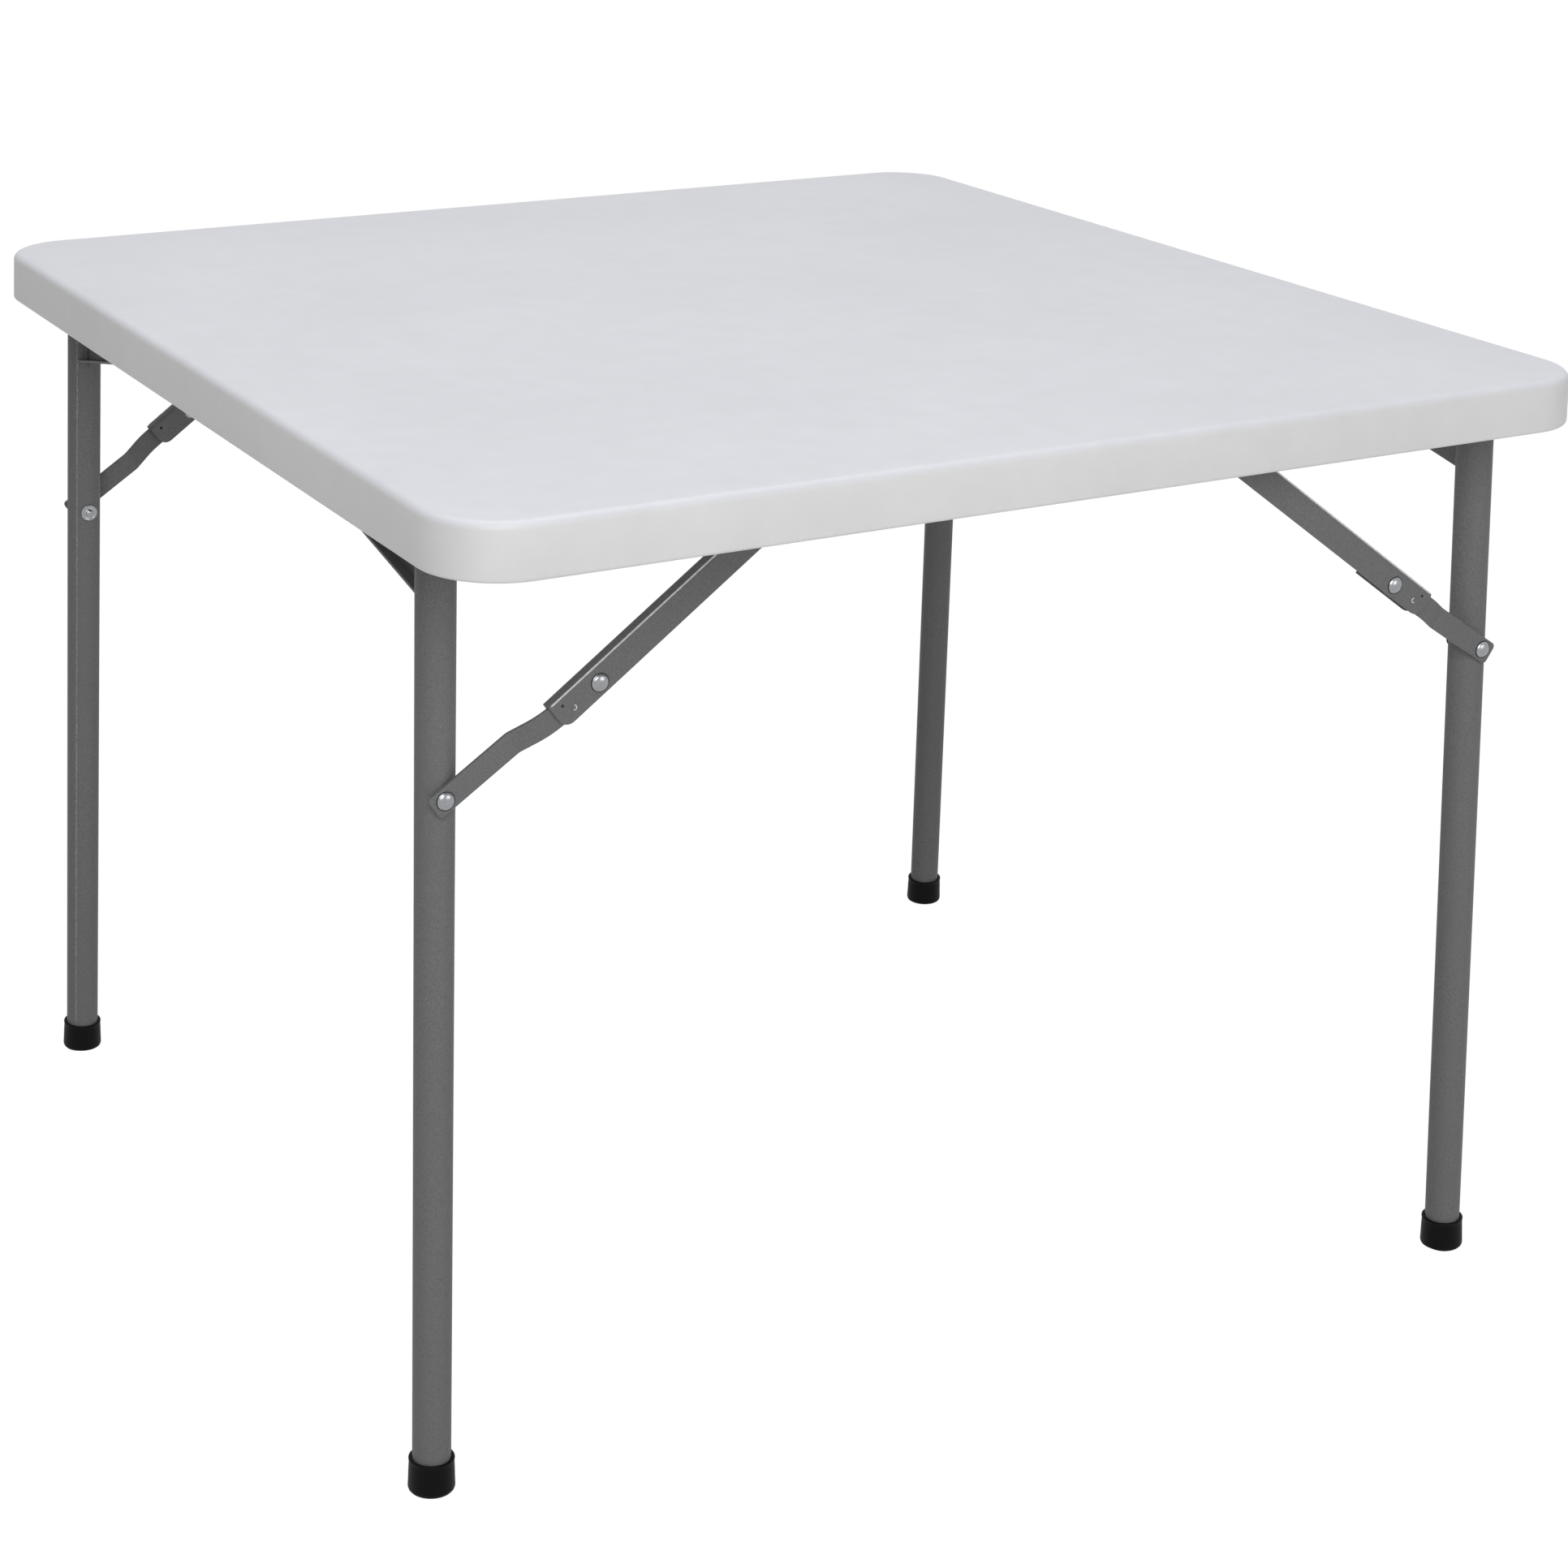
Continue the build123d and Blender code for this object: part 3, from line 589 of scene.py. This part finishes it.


# A thin pale line is painted along the channel's outer bend, a painted highlight where the bend would catch the
# light.
CHANNEL_ROOF, CHANNEL_BEND, CHANNEL_OVERHANG = 12.07, 2.4, 36.9
ROOF_END_GAP, HIGHLIGHT_END_GAP = 12.0, 1.0
HIGHLIGHT_HALF_WIDTH, HIGHLIGHT_WAVER, HIGHLIGHT_BEATS = 0.62, 0.08, (0.21, 0.77)
painted_highlight_coat = hammered("painted_highlight_on_coat", "#BEBEBE", "#F0F0F0", "#D8D8D8")


def bend_highlight_line(length):
    """A thin rod along the channel's outer upper bend, sunk so that only a low ridge stands out of it, which
    carries a painted highlight.

    The bend's middle is at 45 degrees, at radius times (1 - cosine of 45 degrees) in from both faces. The
    rod's radius wavers with the product of two sines along it.
    """
    along = np.linspace(HIGHLIGHT_END_GAP - CHANNEL_OVERHANG, length - ROOF_END_GAP - HIGHLIGHT_END_GAP, 120)
    inward = CHANNEL_BEND * (1 - math.cos(math.pi / 4))
    outer = BRACE_PLANE + CHANNEL_OUTER - inward
    path = np.stack([along, np.full_like(along, outer), np.full_like(along, CHANNEL_ROOF - inward)], -1)
    waver = HIGHLIGHT_WAVER * np.sin(along * HIGHLIGHT_BEATS[0]) * np.sin(along * HIGHLIGHT_BEATS[1])
    return tube_round(path, HIGHLIGHT_HALF_WIDTH + waver, 8)


def turned_on_y(profile, columns=36):
    """A profile of (radius, height) points turned round the y axis, with its heights along y."""
    return turned(profile, columns)[..., [0, 2, 1]]


# A pip pressed out of the channel's web, with a painted highlight round a little over half of its foot, where
# its edge catches the light.
PIP_BACK, PIP_DROP = 13.3, 12.3
PIP_PROFILE = [(0, 0.2), (0.8, 0.35), (1.5, 0.7), (2.0, 0.55), (2.4, -0.05), (0, -0.05)]
HOOK_RADIUS, HOOK_HEIGHT, HOOK_HALF_WIDTH, HOOK_SWING = 1.75, 0.5, 0.45, (-150, 60)
pip_place = np.array([PIP_BACK - CHANNEL_OVERHANG, BRACE_PLANE + CHANNEL_OUTER, CHANNEL_ROOF - PIP_DROP])
pip = turned_on_y(PIP_PROFILE, 28) + pip_place
hook_turn = np.linspace(*np.radians(HOOK_SWING), 24)
hook_line = np.stack([
    HOOK_RADIUS * np.cos(hook_turn), np.full_like(hook_turn, HOOK_HEIGHT), HOOK_RADIUS * np.sin(hook_turn),
], -1)
hook = tube_round(hook_line, HOOK_HALF_WIDTH, 8) + pip_place

for leg in legs:
    name, elbow = leg["name"], leg["elbow"]
    mesh_piece(
        f"bar_{name}", [carried(flat_bar(leg["bar_length"]), elbow, leg["bar_way"])], hammered_coat,
        f"bar_{name}", replaces=[f"brace_bar_{name}"],
    )
    # The bend's pale line and the pip's hook carry a painted highlight, and the pip itself has the frame's
    # coat.
    for kind, grid, finish in (
        ("bend", bend_highlight_line(leg["channel_length"]), painted_highlight_coat),
        ("detent", pip, hammered_coat),
        ("detent_wear", hook, painted_highlight_coat),
    ):
        mesh_piece(
            f"{kind}_{name}", [carried(grid, elbow, leg["channel_up"])], finish,
            f"channel_{name}",
        )

# The rivets
# Mild steel rivets with a bright zinc plate. Each has a smooth cold-headed dome, and the one through the leg
# is peened over a dished washer on the leg's other side.
HEAD_RADIUS, HEAD_HEIGHT = 6.2, 2.6
HEAD_RIM, RIM_OUT, DOME_SWING = 0.35, 0.25, math.radians(82)
RIM_POINTS = [(0.05, 0.5), (0, 0.25), (0.1, 0)]
STUB_LENGTH, OPEN_GAP, SHANK_END = 2.9, 0.3, 0.6
WASHER_RADIUS, SHANK_RADIUS, SHOULDER_RADIUS = 6.75, 3.0, 5.0
EAR_FACE = 6.4

# Bright zinc plating over steel: a light, slightly cool grey metal with a soft mirror and a hazy bloom.
HAZE_SIZE, HAZE_DEPTH = 3.0, 0.2
bright_zinc, tree, shader = new_finish("bright_zinc_plate", Metallic=1.0)
place = add(tree, "ShaderNodeTexCoord").outputs["Object"]
haze = add(tree, "ShaderNodeTexNoise", {"Vector": place, "Scale": 1 / (HAZE_SIZE * MM), "Detail": 4.0})
zinc = blend(tree, haze.outputs["Fac"], linear("#8A8C8F"), linear("#A2A4A6"))
tree.links.new(zinc, shader.inputs["Base Color"])
gloss = add(tree, "ShaderNodeMapRange", {"Value": haze.outputs["Fac"], "To Min": 0.12, "To Max": 0.3})
tree.links.new(gloss.outputs[0], shader.inputs["Roughness"])
bump = add(tree, "ShaderNodeBump", {
    "Height": haze.outputs["Fac"], "Strength": 0.15, "Distance": HAZE_DEPTH * MM,
})
tree.links.new(bump.outputs[0], shader.inputs["Normal"])


def dome_line(seat):
    """A head's profile from its top to its seat: radius times sine, height times cosine, and a small rim."""
    angle = np.linspace(0, DOME_SWING, 10)
    radius = (HEAD_RADIUS - RIM_OUT) * np.sin(angle)
    dome = np.stack([radius, seat + HEAD_RIM + (HEAD_HEIGHT - HEAD_RIM) * np.cos(angle)], -1)
    return [*dome.tolist(), *[(HEAD_RADIUS - inward, seat + up) for inward, up in RIM_POINTS]]


# Painted shade round a head, in the crevice between it and what it holds, and in the pip's cup: nearly black
# rings that stand in for the shade there.
crevice = hammered("painted_shade_in_crevice", "#1C1C1C", "#303030", "#262626")
RING_PROUD, RING_SUNK, RING_BASE = 0.08, 0.05, 0.02
RING_UNDER_HEAD, RING_BEYOND_HEAD = 0.2, 0.55
PIP_RING, PIP_CUP = (0.2, 1.0), 0.3


def ring(inner, outer):
    """A flat ring, a little proud of zero towards +y: a thin rectangle turned round the y axis."""
    return turned_on_y([
        (inner, RING_BASE), (inner, RING_PROUD), (outer, RING_PROUD), (outer, -RING_SUNK), (inner, RING_BASE),
    ], 40)


def rivet_through(low, high, collar=()):
    """A rivet with a head at each end of its grip and a collar's profile between them, turned round y."""
    lower = [(radius, -height) for radius, height in (dome_line(-low) + [(SHANK_RADIUS, -low)])[::-1]]
    line = dome_line(high) + [(SHANK_RADIUS, high), *collar] + lower
    return turned_on_y(line) + np.array([0, BRACE_PLANE, 0])


leg_head = turned_on_y(dome_line(0) + [(SHANK_RADIUS, 0), (SHANK_RADIUS, -STUB_LENGTH), (0, -STUB_LENGTH)])
TAIL_PROFILE = [
    (0, 2.9), (1.2, 2.8), (2.3, 2.4), (2.9, 1.7), (3.1, 1.05), (3.6, 0.8), (4.4, 0.75), (5.2, 1.0),
    (5.9, 1.35), (6.4, 1.3), (WASHER_RADIUS, 0.9), (WASHER_RADIUS, 0.45), (6.3, 0.1), (SHANK_RADIUS, 0), (0, 0),
]
leg_tail = turned_on_y(TAIL_PROFILE) * np.array([1, -1, 1]) - np.array([0, LEG_RADIUS + OPEN_GAP, 0])
leg_tail += np.array([0, RIVET_Y, 0])
shank_end = LEG_RADIUS + SHANK_END
shank = turned_on_y([
    (0, -LEG_RADIUS), (SHANK_RADIUS, -LEG_RADIUS), (SHANK_RADIUS, shank_end), (0, shank_end),
], 24)
shank += np.array([0, RIVET_Y, 0])

# Painted shade rings: one in the pip's cup, and one round each head on the web and on the bar.
pip_shade_ring = ring(*PIP_RING) + np.array([0, PIP_CUP, 0]) + pip_place
head_shade_ring = ring(HEAD_RADIUS - RING_UNDER_HEAD, HEAD_RADIUS + RING_BEYOND_HEAD)
web_shade_rings = [head_shade_ring + np.array([0, BRACE_PLANE + CHANNEL_OUTER, 0]), pip_shade_ring]

# The elbow's rivet has a shoulder that fills the channel between its inner flange and the bar.
flange, bar_side = CHANNEL_INNER + CHANNEL_WALL, -BAR_THICKNESS / 2 - OPEN_GAP
shoulder = [
    (SHANK_RADIUS, bar_side), (SHOULDER_RADIUS, bar_side), (SHOULDER_RADIUS, flange), (SHANK_RADIUS, flange),
]
elbow_rivet = rivet_through(CHANNEL_INNER, CHANNEL_OUTER, shoulder)
hanger_rivet = rivet_through(CHANNEL_OUTER - CHANNEL_WALL, EAR_FACE)

for leg in legs:
    name, elbow, rivet = leg["name"], leg["elbow"], leg["rivet"]
    bar_face = np.array([leg["bar_length"], BAR_PLANE + BAR_THICKNESS / 2, 0])
    mesh_piece(
        f"head_{name}", [carried(leg_head + bar_face, elbow, leg["bar_way"])], bright_zinc,
        f"bar_{name}", replaces=[f"leg_rivet_head_{name}"],
    )
    mesh_piece(
        f"tail_{name}", [carried(grid, rivet, leg["bar_way"]) for grid in (leg_tail, shank)], bright_zinc,
        leg["body"], replaces=[f"leg_rivet_{name}"],
    )
    mesh_piece(
        f"elbow_{name}", [carried(elbow_rivet, elbow, leg["channel_way"])], bright_zinc,
        f"channel_{name}", replaces=[f"elbow_rivet_{name}"],
    )
    mesh_piece(
        f"hanger_{name}", [carried(hanger_rivet, leg["hanger"], leg["channel_way"])], bright_zinc,
        "top", replaces=[f"hanger_rivet_{name}"],
    )
    # The painted shade round the heads and in the pip's cup.
    mesh_piece(
        f"web_crevice_{name}", [carried(grid, elbow, leg["channel_up"]) for grid in web_shade_rings], crevice,
        f"channel_{name}",
    )
    mesh_piece(
        f"bar_crevice_{name}", [carried(head_shade_ring + bar_face, elbow, leg["bar_way"])], crevice,
        f"bar_{name}",
    )
dress(bright_zinc, "pivot_bracket_screws", "brace_bracket_screws")

# The room
# A plain pale floor with soft studio light from above and in front, and a white backdrop. The camera sees
# floor and backdrop nearly white, straight or mirrored, and they throw only a dim light on the table.
FLOOR_HALF = 30.0
AMBIENT = 0.1
FLOOR_GLOW, FLOOR_BOUNCE, FLOOR_WHITE = 0.95, 0.1, 1.05


def seen_directly(tree):
    """One where a ray comes from the camera or has only been mirrored or let through, and zero elsewhere."""
    path = add(tree, "ShaderNodeLightPath").outputs
    seen = path["Is Camera Ray"]
    for kind in ("Is Glossy Ray", "Is Transmission Ray"):
        seen = add(tree, "ShaderNodeMath", {0: seen, 1: path[kind]}, operation="MAXIMUM").outputs[0]
    return seen


floor_finish = bpy.data.materials.new("pale_floor")
floor_finish.use_nodes = True
tree = floor_finish.node_tree
tree.nodes.clear()
seen = add(tree, "ShaderNodeMapRange", {
    "Value": seen_directly(tree), "To Min": FLOOR_BOUNCE, "To Max": FLOOR_GLOW,
})
matt = add(tree, "ShaderNodeBsdfDiffuse", {"Color": linear("#E6E6E6")})
white = add(tree, "ShaderNodeEmission", {"Color": (1, 1, 1, 1), "Strength": FLOOR_WHITE})
both = add(tree, "ShaderNodeMixShader", {0: seen.outputs[0], 1: matt.outputs[0], 2: white.outputs[0]})
add(tree, "ShaderNodeOutputMaterial", {"Surface": both.outputs[0]})
floor_mesh = bpy.data.meshes.new("floor")
floor_corners = np.array([(-1, -1, 0), (1, -1, 0), (1, 1, 0), (-1, 1, 0)]) * FLOOR_HALF
floor_mesh.from_pydata(floor_corners.tolist(), [], [(0, 1, 2, 3)])
floor_mesh.materials.append(floor_finish)
floor = bpy.data.objects.new("floor", floor_mesh)
bpy.context.scene.collection.objects.link(floor)

world = bpy.data.worlds.new("studio")
bpy.context.scene.world = world
world.use_nodes = True
tree = world.node_tree
background = tree.nodes["Background"]
strength = add(tree, "ShaderNodeMapRange", {"Value": seen_directly(tree), "To Min": AMBIENT, "To Max": 1.0})
tree.links.new(strength.outputs[0], background.inputs["Strength"])
background.inputs["Color"].default_value = (1, 1, 1, 1)


def softbox(name, watts, size, location, target):
    """A square area lamp at a place, turned so that it faces the target."""
    lamp = bpy.data.lights.new(name, "AREA")
    lamp.energy, lamp.size = watts, size
    holder = bpy.data.objects.new(name, lamp)
    bpy.context.scene.collection.objects.link(holder)
    back = np.array(location, float) - np.array(target, float)
    back /= np.linalg.norm(back)
    right = np.cross([0, 0, 1], back)
    right /= np.linalg.norm(right)
    stand = np.eye(4)
    stand[:3, 0], stand[:3, 1], stand[:3, 2], stand[:3, 3] = right, np.cross(back, right), back, location
    holder.matrix_world = Matrix(stand.tolist())


softbox("key", 54, 2.0, (-1.4, -2.6, 2.2), (0, 0, 0.5))
softbox("overhead", 54, 3.0, (0.0, 0.3, 3.4), (0, 0.1, 0.6))
softbox("fill", 11, 1.2, (1.2, -3.0, 1.0), (0, 0, 0.5))

# The camera's place, turn and lens fit the photograph: in front and to the left, well over the table's
# height, with the lens's axis away from the middle of the picture.
CAMERA_PLACE = (-1.1663, -2.0138, 1.2448)
CAMERA_YAW, CAMERA_PITCH, CAMERA_ROLL = 0.5116, 0.3120, 0.0195
PHOTO_SIDE, FOCAL_PIXELS, AXIS_PIXEL = 1932, 3754.3, (860, 720)
SENSOR_WIDTH = 36
ahead = np.array([
    math.cos(CAMERA_PITCH) * math.sin(CAMERA_YAW),
    math.cos(CAMERA_PITCH) * math.cos(CAMERA_YAW),
    -math.sin(CAMERA_PITCH),
])
level_right = np.array([math.cos(CAMERA_YAW), -math.sin(CAMERA_YAW), 0])
rolled_right = math.cos(CAMERA_ROLL) * level_right + math.sin(CAMERA_ROLL) * np.cross(level_right, ahead)
tripod = np.eye(4)
tripod[:3, 0], tripod[:3, 1], tripod[:3, 2] = rolled_right, np.cross(rolled_right, ahead), -ahead
tripod[:3, 3] = CAMERA_PLACE
lens = bpy.data.cameras.new("camera")
lens.sensor_width = SENSOR_WIDTH
lens.lens = FOCAL_PIXELS / PHOTO_SIDE * lens.sensor_width
lens.shift_x = (PHOTO_SIDE / 2 - AXIS_PIXEL[0]) / PHOTO_SIDE
lens.shift_y = (AXIS_PIXEL[1] - PHOTO_SIDE / 2) / PHOTO_SIDE
camera = bpy.data.objects.new("camera", lens)
bpy.context.scene.collection.objects.link(camera)
camera.matrix_world = Matrix(tripod.tolist())
bpy.context.scene.camera = camera
bpy.context.scene.view_settings.view_transform = "Standard"
